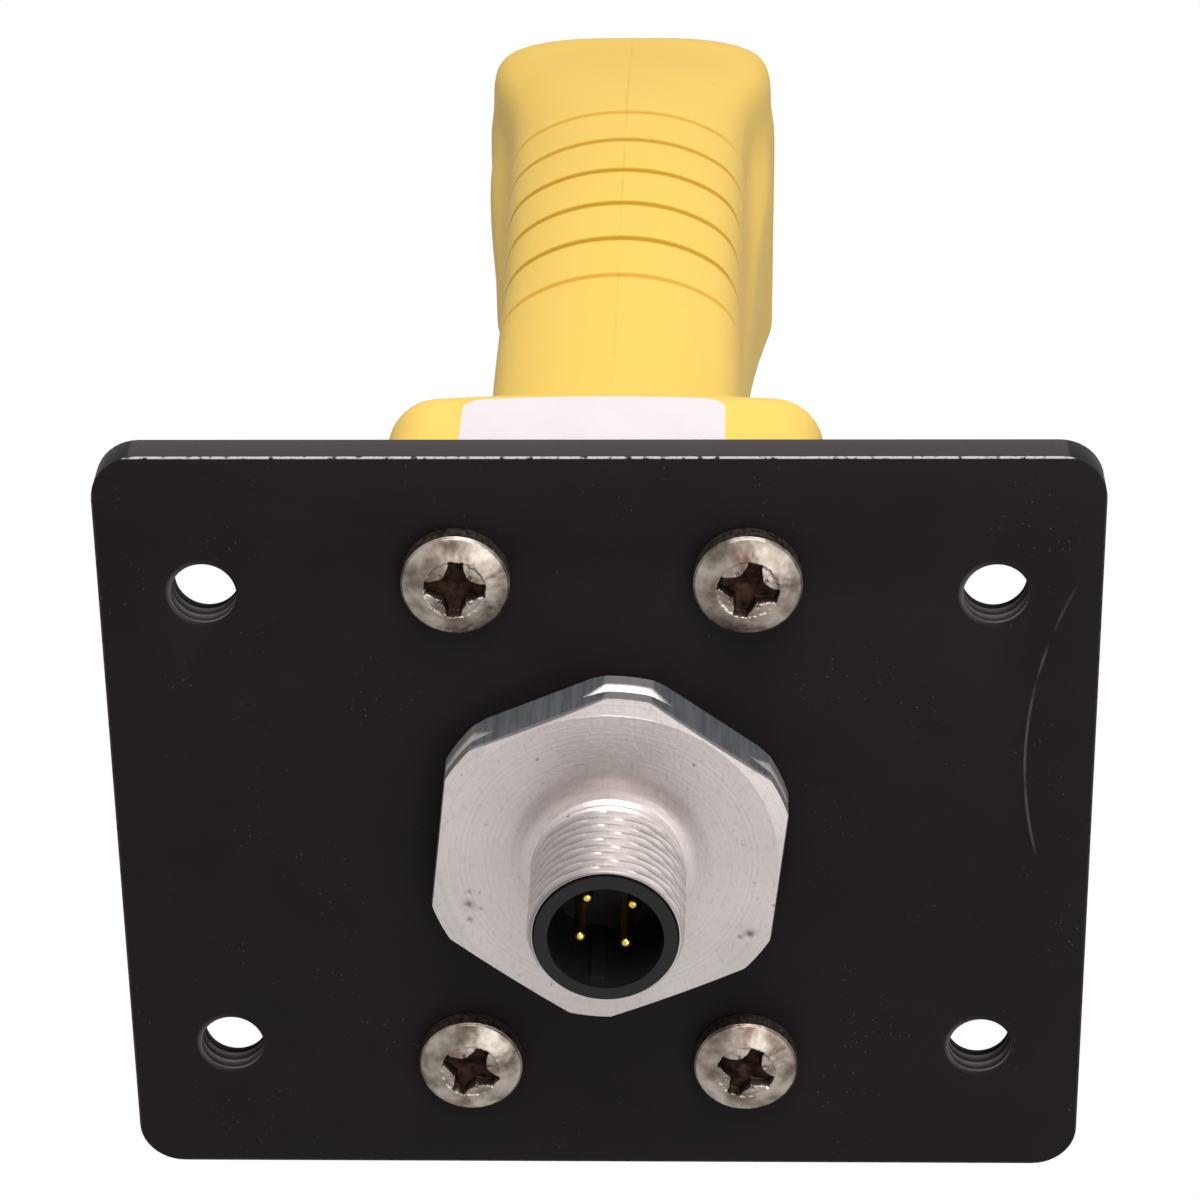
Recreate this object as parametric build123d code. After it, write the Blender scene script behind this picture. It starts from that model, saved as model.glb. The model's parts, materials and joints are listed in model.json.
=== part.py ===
from build123d import *
from collections import namedtuple
import math
import os

# Enabling switch grip on a mounting plate. All sizes are millimetres.
# The origin is the centre of the four mounting holes, on the plate's underside.
# The grip stands along +Z and the connector points down along -Z.
# The palm faces +Y, the trigger faces -Y and the left shell lies on +X.

# Mounting plate
plate_width = 76.0
plate_depth = 64.0
plate_thickness = 3.0
plate_corner_radius = 3.5
mount_spacing_x = 60.0
mount_spacing_y = 41.0
mount_hole_diameter = 5.0

# Screws between the plate and the grip, and their brass inserts
base_screw_spacing_x = 22.0
base_screw_spacing_y = 43.6
base_screw_centre_y = 0.3
base_screw_diameter = 4.0
base_screw_head_diameter = 8.2
base_screw_head_height = 2.9
base_screw_length = 12.0
base_screw_hole_clearance = 0.15
insert_outer_diameter = 5.6
insert_length = 7.0
boss_wall = 1.6
screw_tip_room = 0.8
thread_clearance = 0.05

# Where the axis of the connector and the seam of the grip cross the plate
connector_centre = (-0.6, -0.8)
grip_centre = (-0.25, 0.0)

# Connector
hex_across_flats = 26.6
hex_turned_diameter = 28.9
hex_thickness = 4.2
hex_twist = 6.6
nose_diameter = 12.0
nose_length = 10.5
nose_bore_diameter = 10.9
nose_chamfer = 0.4
shank_diameter = 16.0
shank_length = 9.5
shank_bore_diameter = 12.6
shank_hole_clearance = 0.15
insert_shoulder_depth = 3.0
seal_section = 1.6
seal_mean_diameter = 20.0
seal_squeeze = 0.2
insert_clearance = 0.05
recess_diameter = 8.8
recess_depth = 8.2
insert_rim_proud = 0.3
key_width = 1.1
key_height = 0.8
pin_diameter = 1.0
pin_circle_radius = 2.5
pin_twist = 9.4
pin_tip_setback = 2.0
cup_diameter = 1.7
cup_length = 2.0
washer_thickness = 1.0
washer_diameter = 21.0
nut_across_flats = 20.0
nut_thickness = 4.0

# Base flange of the grip and its gasket
gasket_thickness = 0.6
gasket_inset = 0.8
flange_half_width = 17.0
flange_front = -29.0
flange_back = 29.4
flange_bulge = 0.75
flange_height = 14.2
flange_corner_radius = 4.0
flange_top_round = 3.7
wall = 2.5

# Grip column and head
column_half_width = 11.0
head_half_width = 14.4
column_front = -17.0
head_front = -19.2
palm_back = 21.3
palm_depth = 6.5
palm_valley_share = 0.12
wing_crest_share = 0.62
front_round = 5.0
wing_round = 4.0
foot_edge_gap = 0.2
foot_sink = 0.5
head_top = 131.0
head_length = 54.0
head_round_height = 7.0
head_round_inset = 4.5
ridge_count = 6
ridge_pitch = 7.8
ridge_top_drop = 33.3
ridge_width = 0.7
ridge_depth = 0.4
ridge_reach = 12.5

# Screws that join the shells
shell_screw_diameter = 3.0
shell_screw_length = 15.0
shell_screw_head_diameter = 5.6
shell_screw_head_height = 2.2
shell_screw_sink = 3.0
shell_screw_head_gap = 0.2
screw_end_gap = 0.2
shell_boss_radius = 3.3
shell_screw_gap = 2.2

# Label on the back wall of the flange
label_width = 20.3
label_height = 10.0
label_centre_x = 0.85
label_thickness = 0.15
label_corner_radius = 1.6

# Trigger
trigger_width = 15.0
trigger_side_gap = 0.4
trigger_swing = 7.0
trigger_pin_drop = 15.0
trigger_pin_y = -9.0
trigger_pin_diameter = 4.0
trigger_pin_length = 22.0
trigger_pin_clearance = 0.04
trigger_pin_end_gap = 0.1
trigger_pin_boss_radius = 4.0
trigger_hub_radius = 4.2
trigger_length = 71.0
trigger_reach = 5.5
trigger_front_wall = 2.2
trigger_side_wall = 1.6
trigger_inner_y = -12.4
trigger_toe_length = 6.0
trigger_toe_thickness = 2.0
trigger_toe_half_width = 3.2
trigger_stop_gap = 0.3
slot_end_gap = 3.0

# Switch block
plunger_arm = 43.0
plunger_tip_y = -13.0
plunger_gap = 0.2
switch_front = -5.0
switch_half_width = 6.3
switch_half_height = 13.0
switch_wall = 2.0
switch_rear_block = 6.4
switch_cover_thickness = 1.3
switch_pad_gap = 0.3
switch_screw_diameter = 3.0
switch_screw_offset_z = 9.0
switch_screw_length = 16.0
switch_screw_head_diameter = 5.0
switch_screw_head_height = 1.6
switch_boss_radius = 3.0
cavity_half_height = 6.6
plunger_width = 6.0
plunger_height = 5.0
plunger_side_gap = 0.15
plunger_tip_round = 1.2
carriage_length = 4.7
carriage_half_width = 4.2
carriage_half_height = 5.0
stop_gap = 0.3
bridge_thickness = 0.5
bridge_depth = 2.4
contact_half_spacing = 3.2
contact_thickness = 0.6
contact_width = 1.6
contact_gap = 0.1
contact_slot_clearance = 0.05
terminal_drop = 4.0

# Springs
spring_end_gap = 0.05
plunger_spring_diameter = 5.6
plunger_spring_wire = 0.6
plunger_spring_turns = 4
plunger_spring_pocket = 3.0
trigger_spring_diameter = 6.4
trigger_spring_wire = 0.8
trigger_spring_turns = 5
trigger_spring_arm = 14.0
trigger_spring_seat_y = -14.0
spring_shelf_front = 0.0
spring_shelf_thickness = 3.0
spring_shelf_half_height = 4.5

# Wires between the switch block and the connector
wire_diameter = 1.3

# Levels and places that follow from the sizes above
plate_top = plate_thickness
base_bottom = plate_top + gasket_thickness
flange_top = base_bottom + flange_height
foot_round = flange_half_width - flange_top_round - column_half_width - foot_edge_gap
foot_top = flange_top + foot_round
shoulder_height = head_top - head_round_height
column_top = head_top - head_length
trigger_pin_z = head_top - trigger_pin_drop
trigger_bottom = trigger_pin_z - trigger_length
plunger_z = trigger_pin_z - plunger_arm
plunger_travel = plunger_arm * math.radians(trigger_swing)
spring_z = trigger_pin_z - trigger_spring_arm
carriage_front = switch_front + switch_wall + stop_gap
carriage_back = carriage_front + carriage_length
carriage_middle = (carriage_front + carriage_back) / 2
cavity_back = carriage_back + plunger_travel + stop_gap
switch_back = cavity_back + switch_rear_block
switch_screw_y = (cavity_back + 2 * contact_thickness + switch_back) / 2
switch_screw_heights = (plunger_z - switch_screw_offset_z, plunger_z + switch_screw_offset_z)
screw_pocket_top = base_screw_length + screw_tip_room
slot_bottom = trigger_bottom - slot_end_gap
slot_top = trigger_pin_z + trigger_hub_radius + slot_end_gap
back_arc = (
    (-flange_half_width, flange_back),
    (0, flange_back + flange_bulge),
    (flange_half_width, flange_back),
)
connector_place = Pos(*connector_centre)
grip_place = Pos(*grip_centre)
corners = [(side_x, side_y) for side_x in (-1, 1) for side_y in (-1, 1)]
mount_places = [(sx * mount_spacing_x / 2, sy * mount_spacing_y / 2) for sx, sy in corners]
base_screw_places = [
    (sx * base_screw_spacing_x / 2, base_screw_centre_y + sy * base_screw_spacing_y / 2) for sx, sy in corners
]
pin_angles = [45 + pin_twist + 90 * quarter for quarter in range(4)]
switch_screw_clearance = switch_half_height + shell_boss_radius + shell_screw_gap
shell_screw_places = [
    (column_front + 8.0, foot_top + 5.2, column_half_width),
    (palm_back - 10.3, foot_top + 7.2, column_half_width),
    (switch_front + 0.8, plunger_z + switch_screw_clearance, head_half_width - 2.4),
    (palm_back - 16.3, shoulder_height - 6.0, head_half_width),
]

# One level cut through the grip: the palm's edge, the wing's edge, the waist behind the trigger and the front
Station = namedtuple(
    "Station", "height back palm_depth squareness palm_half wing_half wing_back front_half front"
)


def column_station(share, back_drop, width_gain):
    """A level of the plain column, at a share of the way from its foot to the head."""
    height = foot_top + share * (column_top - foot_top)
    half = column_half_width + width_gain
    front = column_front + share * 0.5 * (head_front - column_front)
    return Station(height, palm_back - back_drop, palm_depth, 2.0, half, half, 6.0, half, front)


def head_station(drop, back_drop, depth_loss, squareness, palm_gain, flare, wing_back, waist, front_drop):
    """A level of the head, at a drop below its top, where the wings flare past the palm and the waist."""
    spread = head_half_width - column_half_width
    return Station(
        head_top - drop,
        palm_back - back_drop,
        palm_depth - depth_loss,
        squareness,
        column_half_width + palm_gain,
        column_half_width + flare * spread,
        wing_back,
        column_half_width + waist * spread,
        head_front + front_drop,
    )


stations = [
    column_station(0.0, 0.9, -0.2),
    column_station(0.1, 0.9, -0.2),
    column_station(0.4, 0.7, -0.3),
    column_station(0.7, 0.3, -0.3),
    head_station(head_length, 0.0, 0.0, 2.0, -0.2, 0.1, 3.5, -0.1, 0.6),
    head_station(47.0, 0.0, 0.0, 2.0, 0.0, 0.28, 5.0, -0.1, 0.3),
    head_station(38.0, 0.2, 0.0, 2.0, 0.2, 0.48, 7.0, -0.02, 0.0),
    head_station(27.0, 0.8, 0.3, 2.2, 0.5, 0.76, 8.8, 0.2, 0.0),
    head_station(17.0, 1.9, 1.0, 2.6, 1.7, 0.95, 9.6, 0.5, 0.3),
    head_station(head_round_height, 3.4, 1.5, 3.1, 3.2, 1.07, 9.6, 1.03, 1.2),
]


def half_outline(station, inset=0.0, height=None):
    """The left half of a level cut through the grip, drawn in by an inset."""
    palm_half = station.palm_half - inset
    wing_half = station.wing_half - inset
    front_half = station.front_half - inset
    palm_round = station.palm_depth - inset / 2
    palm_side_y = station.back - inset - palm_round
    front = station.front + inset
    flare = wing_half - palm_half
    wing_back = min(station.wing_back, palm_side_y - 1.5)
    wing_side = wing_back - wing_round
    bend = 2 / station.squareness
    palm_points = [(0, palm_side_y + palm_round)]
    for angle in (68, 46, 24):
        across = math.cos(math.radians(angle)) ** bend
        along = math.sin(math.radians(angle)) ** bend
        palm_points.append((palm_half * across, palm_side_y + palm_round * along))
    palm_points.append((palm_half, palm_side_y))
    valley = (palm_half + palm_valley_share * flare, (palm_side_y + wing_back) / 2)
    crest = (palm_half + wing_crest_share * flare, wing_back)
    palm_line = Spline(*palm_points, valley, crest, (wing_half, wing_side), tangents=[(1, 0), (0, -1)])
    corner_start = (front_half, front + front_round)
    flank = Spline((wing_half, wing_side), corner_start, tangents=[(0, -1), (0, -1)])
    corner = ThreePointArc(
        corner_start,
        (front_half - front_round * (1 - math.sqrt(0.5)), front + front_round * (1 - math.sqrt(0.5))),
        (front_half - front_round, front),
    )
    front_line = Line((front_half - front_round, front), (0, front))
    seam = Line((0, front), palm_points[0])
    outline = make_face([palm_line, flank, corner, front_line, seam])
    return Pos(0, 0, station.height if height is None else height) * outline


def quarter_steps(count):
    """Angles in radians that step through a quarter turn."""
    return [math.radians(90 * step / count) for step in range(count + 1)]


def grip_half(inset=0.0):
    """Column and head of the left half, from the top of the foot to the shoulder of the head."""
    return loft([half_outline(station, inset) for station in stations])


def head_cap():
    """Rounded top of the head, left half."""
    sections = [
        half_outline(
            stations[-1],
            head_round_inset * (1 - math.cos(angle)),
            shoulder_height + head_round_height * math.sin(angle),
        )
        for angle in quarter_steps(5)
    ]
    return loft(sections)


def column_foot():
    """Flared foot where the column meets the flange, left half."""
    sections = [
        half_outline(
            stations[0],
            -foot_round * (1 - math.cos(angle)),
            foot_top - foot_round * math.sin(angle),
        )
        for angle in quarter_steps(5)
    ]
    return loft(sections) + extrude(sections[-1], -foot_sink)


def flange_outline(inset=0.0):
    """Plan of the base flange with its slightly bowed back wall, drawn in by an inset."""
    half = flange_half_width - inset
    front = flange_front + inset
    back = flange_back - inset
    sides = Polyline((half, back), (half, front), (-half, front), (-half, back))
    bow = ThreePointArc((-half, back), (0, back + flange_bulge), (half, back))
    outline = make_face([sides, bow])
    return fillet(outline.vertices(), flange_corner_radius - inset / 2)


def left_half_space():
    """A block that covers everything on the left of the seam."""
    reach = head_top * 2
    return Pos(reach / 2, 0, 0) * Box(reach, reach, reach * 2)


def rod_x(radius, start_x, end_x, y, z):
    """A round bar along X between two places."""
    middle = (start_x + end_x) / 2
    return Pos(middle, y, z) * Rot(0, 90, 0) * Cylinder(radius, abs(end_x - start_x))


def block(x_range, y_range, z_range):
    """A block between two places along each axis."""
    low = [span[0] for span in (x_range, y_range, z_range)]
    size = [span[1] - span[0] for span in (x_range, y_range, z_range)]
    middle = [start + length / 2 for start, length in zip(low, size)]
    return Pos(*middle) * Box(*size)


def post(radius, x, y, bottom, top):
    """A round bar along Z between two heights."""
    return Pos(x, y, (bottom + top) / 2) * Cylinder(radius, top - bottom)


def save(shape, place, name):
    """Write one node at its place, either one solid or a group of separate solids."""
    if isinstance(shape, list):
        placed = Compound(children=[place * piece for piece in shape])
    else:
        placed = place * shape
    export_step(placed, f"parts/{name}.step")


def mounting_plate():
    outline = RectangleRounded(plate_width, plate_depth, plate_corner_radius)
    plate = extrude(outline, plate_thickness)
    for x, y in mount_places:
        plate -= post(mount_hole_diameter / 2, x, y, -1, plate_top + 1)
    for x, y in base_screw_places:
        hole = post(base_screw_diameter / 2 + base_screw_hole_clearance, x, y, -1, plate_top + 1)
        plate -= grip_place * hole
    return plate - connector_place * post(shank_diameter / 2 + shank_hole_clearance, 0, 0, -1, plate_top + 1)


def base_screws():
    screws = []
    for x, y in base_screw_places:
        head = post(base_screw_head_diameter / 2, x, y, -base_screw_head_height, 0)
        rim = head.faces().sort_by(Axis.Z)[0].edges()
        head = fillet(rim, base_screw_head_height * 0.55)
        screws.append(head + post(base_screw_diameter / 2, x, y, 0, base_screw_length))
    return screws


def thread_inserts():
    inserts = []
    for x, y in base_screw_places:
        sleeve = post(insert_outer_diameter / 2, x, y, base_bottom, base_bottom + insert_length)
        bore_radius = base_screw_diameter / 2 + thread_clearance
        bore = post(bore_radius, x, y, base_bottom, base_bottom + insert_length)
        inserts.append(sleeve - bore)
    return inserts


def hexagon(across_flats, twist):
    return Rot(0, 0, twist) * RegularPolygon(across_flats / math.sqrt(3), 6)


def connector_shell():
    hexagon_block = extrude(hexagon(hex_across_flats, 30 + hex_twist), hex_thickness)
    hexagon_block = Pos(0, 0, -hex_thickness) * hexagon_block
    turned_disc = post(hex_turned_diameter / 2, 0, 0, -hex_thickness, 0)
    nose_tip = -hex_thickness - nose_length
    nose = post(nose_diameter / 2, 0, 0, nose_tip, 0)
    nose = chamfer(nose.faces().sort_by(Axis.Z)[0].edges(), nose_chamfer)
    shank = post(shank_diameter / 2, 0, 0, -1, shank_length)
    shell = (hexagon_block & turned_disc) + nose + shank
    shell -= post(nose_bore_diameter / 2, 0, 0, nose_tip, 0)
    shell -= post(shank_bore_diameter / 2, 0, 0, -insert_shoulder_depth, shank_length)
    groove_depth = seal_section - seal_squeeze
    groove = post(seal_mean_diameter / 2 + seal_section / 2, 0, 0, -groove_depth, 0)
    groove -= post(seal_mean_diameter / 2 - seal_section / 2, 0, 0, -groove_depth, 0)
    return shell - groove


def flange_seal():
    height = seal_section - seal_squeeze
    half = seal_section / 2 - insert_clearance
    ring = post(seal_mean_diameter / 2 + half, 0, 0, -height, 0)
    ring -= post(seal_mean_diameter / 2 - half, 0, 0, -height, 0)
    return chamfer(ring.edges(), seal_section * 0.25)


def connector_insert():
    rim = -hex_thickness - nose_length - insert_rim_proud
    body = post(nose_bore_diameter / 2 - insert_clearance, 0, 0, rim, 0)
    body += post(shank_bore_diameter / 2 - insert_clearance, 0, 0, -insert_shoulder_depth, shank_length)
    body -= post(recess_diameter / 2, 0, 0, rim, rim + recess_depth)
    key_radius = recess_diameter / 2 - key_height / 2
    key = block(
        (key_radius, key_radius + key_height),
        (-key_width / 2, key_width / 2),
        (rim + 1, rim + recess_depth),
    )
    body += Rot(0, 0, pin_twist - 90) * key
    for angle in pin_angles:
        x, y = polar(pin_circle_radius, angle)
        body -= post(pin_diameter / 2, x, y, rim, shank_length)
    return body


def polar(radius, angle):
    return radius * math.cos(math.radians(angle)), radius * math.sin(math.radians(angle))


def contact_pins():
    pins = []
    tip = -hex_thickness - nose_length + pin_tip_setback
    for angle in pin_angles:
        x, y = polar(pin_circle_radius, angle)
        pin = post(pin_diameter / 2, x, y, tip, shank_length)
        pin = chamfer(pin.faces().sort_by(Axis.Z)[0].edges(), pin_diameter * 0.25)
        pins.append(pin + post(cup_diameter / 2, x, y, shank_length, shank_length + cup_length))
    return pins


def lock_washer():
    top = plate_top + washer_thickness
    washer = post(washer_diameter / 2, 0, 0, plate_top, top)
    return washer - post(shank_diameter / 2 + shank_hole_clearance, 0, 0, plate_top, top)


def connector_nut():
    bottom = plate_top + washer_thickness
    nut = Pos(0, 0, bottom) * extrude(hexagon(nut_across_flats, 0), nut_thickness)
    return nut - post(shank_diameter / 2 + thread_clearance, 0, 0, bottom, bottom + nut_thickness)


def base_gasket():
    outer = flange_outline(gasket_inset)
    gasket = extrude(outer, gasket_thickness) - extrude(flange_outline(wall), gasket_thickness)
    for x, y in base_screw_places:
        ring = post(insert_outer_diameter / 2 + boss_wall, x, y, 0, gasket_thickness)
        gasket += ring & extrude(outer, gasket_thickness)
        gasket -= post(base_screw_diameter / 2 + base_screw_hole_clearance, x, y, 0, gasket_thickness)
    return Pos(0, 0, plate_top) * gasket


def grip_shell_blank():
    """Left shell with its hollow, bosses, trigger slot and palm grooves, before its screws."""
    flange = Pos(0, 0, base_bottom) * extrude(flange_outline(), flange_height)
    flange = fillet(flange.faces().sort_by(Axis.Z)[-1].edges(), flange_top_round)
    outer = (flange & left_half_space()) + column_foot() + grip_half() + head_cap()
    ceiling = flange_top - wall
    column_hollow = grip_half(wall)
    throat = extrude(half_outline(stations[0], wall), -(foot_top - ceiling))
    flange_hollow = Pos(0, 0, base_bottom) * extrude(flange_outline(wall), ceiling - base_bottom)
    shell = outer - column_hollow - throat - (flange_hollow & left_half_space())
    for x, y in base_screw_places:
        if x > 0:
            shell += post(insert_outer_diameter / 2 + boss_wall, x, y, base_bottom, ceiling)
            shell -= post(insert_outer_diameter / 2, x, y, base_bottom, base_bottom + insert_length)
            pocket_radius = base_screw_diameter / 2 + base_screw_hole_clearance
            shell -= post(pocket_radius, x, y, base_bottom, screw_pocket_top)
    slot_half = trigger_width / 2 + trigger_side_gap
    shell -= block((-1, slot_half), (head_front - trigger_reach, trigger_pin_y), (slot_bottom, slot_top))
    boss_end = head_half_width - wall
    hub_boss = rod_x(trigger_pin_boss_radius, slot_half, boss_end, trigger_pin_y, trigger_pin_z)
    bore_radius = trigger_pin_diameter / 2 + trigger_pin_clearance
    bore_end = trigger_pin_length / 2 + trigger_pin_end_gap
    pin_bore = rod_x(bore_radius, 0, bore_end, trigger_pin_y, trigger_pin_z)
    shelf = block(
        (0, head_half_width - wall * 0.7),
        (spring_shelf_front, spring_shelf_front + spring_shelf_thickness),
        (spring_z - spring_shelf_half_height, spring_z + spring_shelf_half_height),
    )
    return shell + hub_boss + shelf - pin_bore


def palm_grooves():
    """Narrow level grooves that wrap round the palm of the left shell."""
    slabs = []
    for index in range(ridge_count):
        height = head_top - ridge_top_drop - index * ridge_pitch
        z_range = (height - ridge_width / 2, height + ridge_width / 2)
        slabs.append(block((0, head_half_width), (ridge_reach, palm_back + 2), z_range))
    core = grip_half(ridge_depth)
    return [slab - core for slab in slabs]


def shell_joint(shell, is_left):
    """Adds half of each screw boss, with the head's seat on the left shell and the thread on the right."""
    for y, z, half_width in shell_screw_places:
        shell += rod_x(shell_boss_radius, 0, half_width - wall * 0.75, y, z)
        hole_radius = shell_screw_diameter / 2 + thread_clearance
        if is_left:
            head_radius = shell_screw_head_diameter / 2 + shell_screw_head_gap
            shell -= rod_x(hole_radius, 0, half_width, y, z)
            shell -= rod_x(head_radius, half_width - shell_screw_sink, half_width * 2, y, z)
        else:
            tip = shell_screw_length - (half_width - shell_screw_sink)
            shell -= rod_x(hole_radius, 0, tip + screw_end_gap, y, z)
    return shell


def left_grip_shell():
    shell = shell_joint(grip_shell_blank(), True)
    pad = block(
        (switch_half_width + switch_pad_gap, column_half_width - wall / 2),
        (cavity_back - 6, cavity_back),
        (plunger_z - 5, plunger_z + 5),
    )
    shell += pad
    for groove in palm_grooves():
        shell -= groove
    return shell


def right_grip_shell():
    shell = shell_joint(grip_shell_blank(), False)
    for groove in palm_grooves():
        shell -= groove
    hole_radius = switch_screw_diameter / 2 + thread_clearance
    for offset in (-switch_screw_offset_z, switch_screw_offset_z):
        z = plunger_z + offset
        tip = switch_screw_length - switch_half_width
        shell += rod_x(switch_boss_radius, switch_half_width, column_half_width - wall / 2, switch_screw_y, z)
        shell -= rod_x(hole_radius, 0, tip + screw_end_gap, switch_screw_y, z)
    return mirror(shell, Plane.YZ)


def shell_screws():
    screws = []
    for y, z, half_width in shell_screw_places:
        seat = half_width - shell_screw_sink
        head = rod_x(shell_screw_head_diameter / 2, seat, seat + shell_screw_head_height, y, z)
        head = fillet(head.faces().sort_by(Axis.X)[-1].edges(), shell_screw_head_height * 0.4)
        screws.append(head + rod_x(shell_screw_diameter / 2, seat - shell_screw_length, seat, y, z))
    return screws


def type_label():
    """Thin sheet that follows the bowed back wall of the flange."""
    sheet_outline = make_face(
        [
            ThreePointArc(*[(x, y + label_thickness) for x, y in back_arc]),
            Line((back_arc[2][0], back_arc[2][1] + label_thickness), back_arc[2]),
            ThreePointArc(*back_arc),
            Line(back_arc[0], (back_arc[0][0], back_arc[0][1] + label_thickness)),
        ]
    )
    sheet = Pos(0, 0, base_bottom) * extrude(sheet_outline, flange_height)
    middle_z = flange_top - flange_top_round - label_height / 2
    cutter = extrude(RectangleRounded(label_width, label_height, label_corner_radius), 10)
    cutter = Pos(label_centre_x, flange_back + 5, middle_z) * Rot(90, 0, 0) * cutter
    return sheet & cutter


def trigger_face_points(inset):
    """Finger side of the trigger from top to bottom, moved back by an inset."""
    shape = ((3.0, 0.55), (13.0, 0.95), (28.0, 0.62), (50.0, 1.0), (64.0, 0.8))
    return [(head_front + inset - trigger_reach * reach, trigger_pin_z - drop) for drop, reach in shape]


def trigger():
    hub_top = trigger_pin_z + trigger_hub_radius
    front_top = (head_front - 0.5, hub_top - 1.0)
    toe_front = column_front + wall + trigger_stop_gap
    toe_back = toe_front + trigger_toe_thickness
    face = Spline(front_top, *trigger_face_points(0.0), (head_front - 1.5, trigger_bottom))
    outline = make_face(
        [
            face,
            Polyline(
                (head_front - 1.5, trigger_bottom),
                (toe_back, trigger_bottom),
                (trigger_inner_y, trigger_bottom + 4),
                (trigger_inner_y, trigger_pin_z - trigger_hub_radius),
                (trigger_pin_y, trigger_pin_z - trigger_hub_radius),
                (trigger_pin_y, hub_top),
                (head_front + 3, hub_top),
                front_top,
            ),
        ]
    )
    half = trigger_width / 2
    solid = extrude(Plane.YZ * outline, half, both=True)
    body = solid + rod_x(trigger_hub_radius, -half, half, trigger_pin_y, trigger_pin_z)
    pocket_top = trigger_pin_z - trigger_hub_radius - 2
    pocket_bottom = trigger_bottom + 2
    inner_face = Spline(
        (head_front + trigger_front_wall - 2.5, pocket_top),
        *trigger_face_points(trigger_front_wall)[1:],
        (head_front + trigger_front_wall - 2.5, pocket_bottom),
    )
    pocket_outline = make_face(
        [
            inner_face,
            Polyline(
                (head_front + trigger_front_wall - 2.5, pocket_bottom),
                (0, pocket_bottom),
                (0, pocket_top),
                (head_front + trigger_front_wall - 2.5, pocket_top),
            ),
        ]
    )
    body -= extrude(Plane.YZ * pocket_outline, half - trigger_side_wall, both=True)
    rib_front = head_front - trigger_reach * 2
    rib = plunger_width / 2 + 0.5
    rib_back = plunger_tip_y - plunger_gap
    body += solid & block((-rib, rib), (rib_front, rib_back), (plunger_z - rib, plunger_z + rib))
    seat = trigger_spring_diameter / 2 + 1
    seat_span = (spring_z - seat, spring_z + seat)
    body += solid & block((-seat, seat), (rib_front, trigger_spring_seat_y), seat_span)
    body += block(
        (-trigger_toe_half_width, trigger_toe_half_width),
        (toe_front, toe_back),
        (trigger_bottom - trigger_toe_length, trigger_bottom + 2),
    )
    bore_radius = trigger_pin_diameter / 2 + trigger_pin_clearance
    return body - rod_x(bore_radius, -half, half, trigger_pin_y, trigger_pin_z)


def trigger_pin():
    half = trigger_pin_length / 2
    pin = rod_x(trigger_pin_diameter / 2, -half, half, trigger_pin_y, trigger_pin_z)
    return chamfer(pin.edges().filter_by(GeomType.CIRCLE), 0.3)


def coil_spring(diameter, wire, turns, start_y, end_y, z):
    """Compression spring along Y with its ends just clear of their seats."""
    first = start_y + wire / 2 + spring_end_gap
    last = end_y - wire / 2 - spring_end_gap
    radius = (diameter - wire) / 2
    path = Helix((last - first) / turns, last - first, radius)
    profile = Plane(origin=path @ 0, z_dir=path % 0) * Circle(wire / 2)
    coil = sweep(profile, path)
    return Pos(0, first, z) * Rot(-90, 0, 0) * coil


def trigger_spring():
    return coil_spring(
        trigger_spring_diameter,
        trigger_spring_wire,
        trigger_spring_turns,
        trigger_spring_seat_y,
        spring_shelf_front,
        spring_z,
    )


def plunger_spring():
    return coil_spring(
        plunger_spring_diameter,
        plunger_spring_wire,
        plunger_spring_turns,
        carriage_back - plunger_spring_pocket,
        cavity_back,
        plunger_z,
    )


def switch_body():
    cover_face = switch_half_width - switch_cover_thickness
    z_range = (plunger_z - switch_half_height, plunger_z + switch_half_height)
    body = block((-switch_half_width, cover_face), (switch_front, switch_back), z_range)
    body -= block(
        (-carriage_half_width - 0.6, cover_face),
        (switch_front + switch_wall, cavity_back),
        (plunger_z - cavity_half_height, plunger_z + cavity_half_height),
    )
    half_width = plunger_width / 2 + plunger_side_gap
    half_height = plunger_height / 2 + plunger_side_gap
    body -= block(
        (-half_width, half_width),
        (switch_front, switch_front + switch_wall),
        (plunger_z - half_height, plunger_z + half_height),
    )
    for slot in contact_shapes(contact_slot_clearance):
        body -= slot
    hole_radius = switch_screw_diameter / 2 + thread_clearance
    for z in switch_screw_heights:
        body -= rod_x(hole_radius, -switch_half_width, cover_face, switch_screw_y, z)
    return body


def switch_cover():
    inner = switch_half_width - switch_cover_thickness
    z_range = (plunger_z - switch_half_height, plunger_z + switch_half_height)
    cover = block((inner, switch_half_width), (switch_front, switch_back), z_range)
    hole_radius = switch_screw_diameter / 2 + thread_clearance
    for z in switch_screw_heights:
        cover -= rod_x(hole_radius, inner, switch_half_width, switch_screw_y, z)
    return cover


def switch_screws():
    screws = []
    for z in switch_screw_heights:
        seat = switch_half_width
        head = rod_x(switch_screw_head_diameter / 2, seat, seat + switch_screw_head_height, switch_screw_y, z)
        shaft = rod_x(switch_screw_diameter / 2, seat - switch_screw_length, seat, switch_screw_y, z)
        screws.append(head + shaft)
    return screws


def plunger():
    half_width = plunger_width / 2
    half_height = plunger_height / 2
    z_range = (plunger_z - half_height, plunger_z + half_height)
    shank = block((-half_width, half_width), (plunger_tip_y, carriage_front), z_range)
    shank = fillet(shank.faces().sort_by(Axis.Y)[0].edges(), plunger_tip_round)
    carriage = block(
        (-carriage_half_width, carriage_half_width),
        (carriage_front, carriage_back),
        (plunger_z - carriage_half_height, plunger_z + carriage_half_height),
    )
    pocket = Cylinder(plunger_spring_diameter / 2 + 0.2, plunger_spring_pocket)
    pocket = Pos(0, carriage_back - plunger_spring_pocket / 2, plunger_z) * Rot(90, 0, 0) * pocket
    return shank + carriage - pocket


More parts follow.
